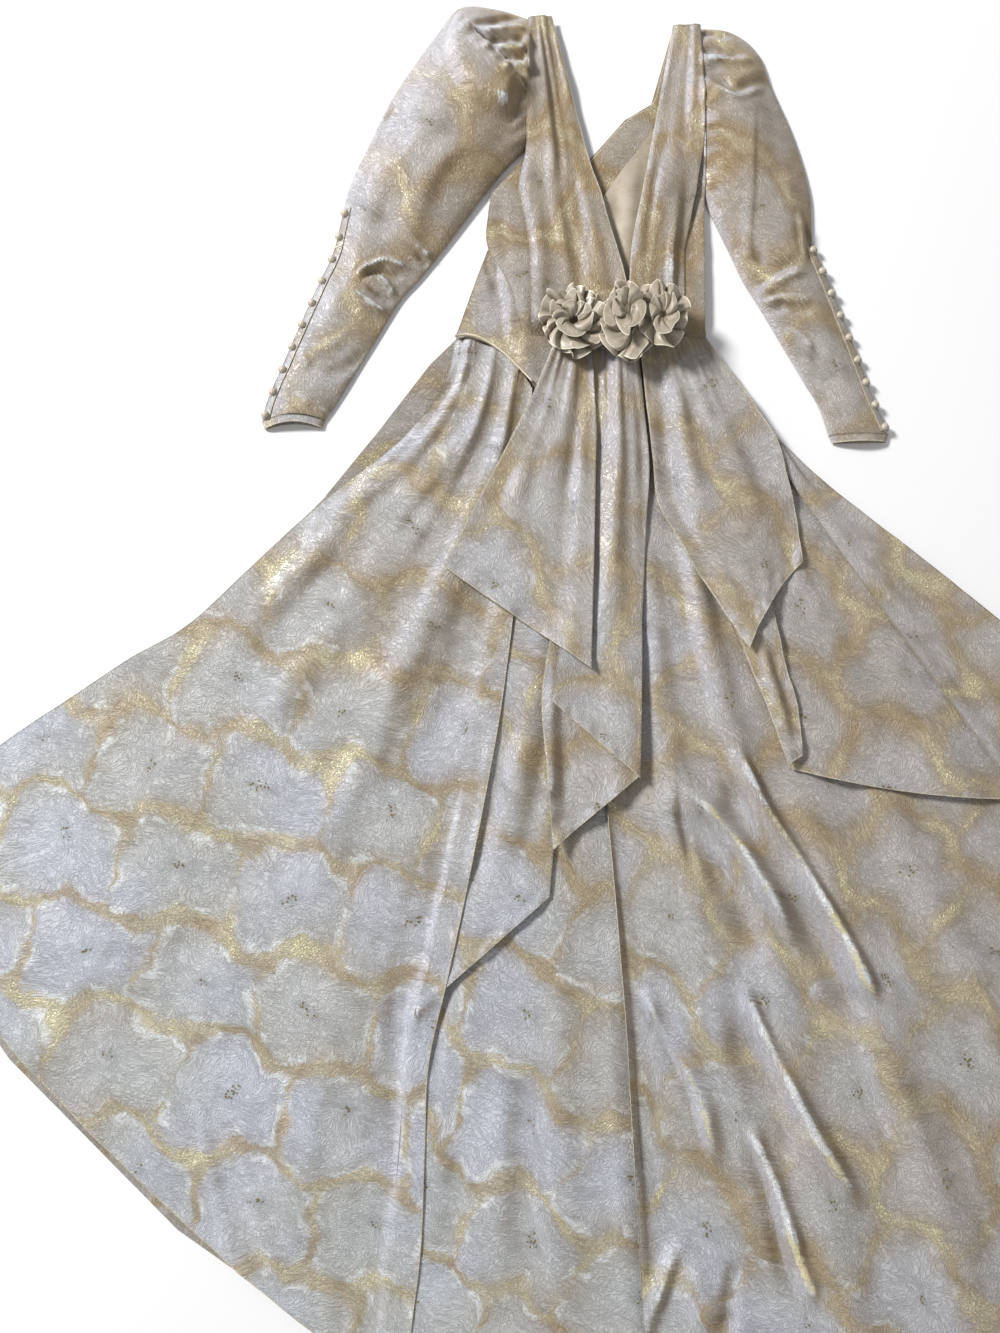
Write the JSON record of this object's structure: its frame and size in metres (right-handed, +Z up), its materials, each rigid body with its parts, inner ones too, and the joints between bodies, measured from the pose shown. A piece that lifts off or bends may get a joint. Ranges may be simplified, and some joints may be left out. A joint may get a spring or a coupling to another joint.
{
  "type": "wedding dress",
  "caption": "Long-sleeved wedding dress in figured brocade, laid out flat: crossed neckline, satin rosettes at the waist, waterfall drapes and a full skirt with a train.",
  "frame": {"origin": "centre of the bounding box in plan, on the surface that the gown lies on", "axes": "+Y from the hem towards the neck, +X towards the wearer's left as the gown faces up, +Z up from the surface"},
  "size_m": [1.93, 2.095, 0.0612],
  "materials": {
    "brocade": "silver-lilac figured brocade with metallic gold bands, satin sheen",
    "lining_satin": "plain ivory lining satin",
    "piping_satin": "cream satin over cord",
    "rosette_satin": "gathered taupe satin with cream highlights",
    "covered_buttons": "cream satin over a domed form"
  },
  "bodies": {
    "root": {"bodice_far_left": "brocade", "bodice_far_right": "brocade", "bodice_lining": "lining_satin", "bodice_over_left": "brocade", "bodice_side_left": "brocade", "bodice_side_right": "brocade", "bodice_under_right": "brocade", "button_left_01": "covered_buttons", "button_left_02": "covered_buttons", "button_left_03": "covered_buttons", "button_left_04": "covered_buttons", "button_left_05": "covered_buttons", "button_left_06": "covered_buttons", "button_left_07": "covered_buttons", "button_left_08": "covered_buttons", "button_left_09": "covered_buttons", "button_left_10": "covered_buttons", "button_right_01": "covered_buttons", "button_right_02": "covered_buttons", "button_right_03": "covered_buttons", "button_right_04": "covered_buttons", "button_right_05": "covered_buttons", "button_right_06": "covered_buttons", "button_right_07": "covered_buttons", "button_right_08": "covered_buttons", "button_right_09": "covered_buttons", "cascade_left_inner": "brocade", "cascade_left_middle": "brocade", "cascade_left_top": "brocade", "cascade_right_middle": "brocade", "cascade_right_top": "brocade", "cuff_left": "brocade", "cuff_right": "brocade", "hip_piping_left": "piping_satin", "hip_yoke_left": "brocade", "hip_yoke_right": "brocade", "neck_facing": "brocade", "overskirt_left": "brocade", "overskirt_right": "brocade", "placket_left": "brocade", "placket_right": "brocade", "rosette_centre_inner": "rosette_satin", "rosette_centre_outer": "rosette_satin", "rosette_left_inner": "rosette_satin", "rosette_left_outer": "rosette_satin", "rosette_right_inner": "rosette_satin", "rosette_right_outer": "rosette_satin", "skirt_centre": "brocade", "skirt_left": "brocade", "skirt_right": "brocade", "skirt_side_right": "brocade", "skirt_under_left": "brocade", "skirt_under_right": "brocade", "sleeve_left": "brocade", "sleeve_left_fold": "brocade", "sleeve_right": "brocade"}
  },
  "joints": []
}
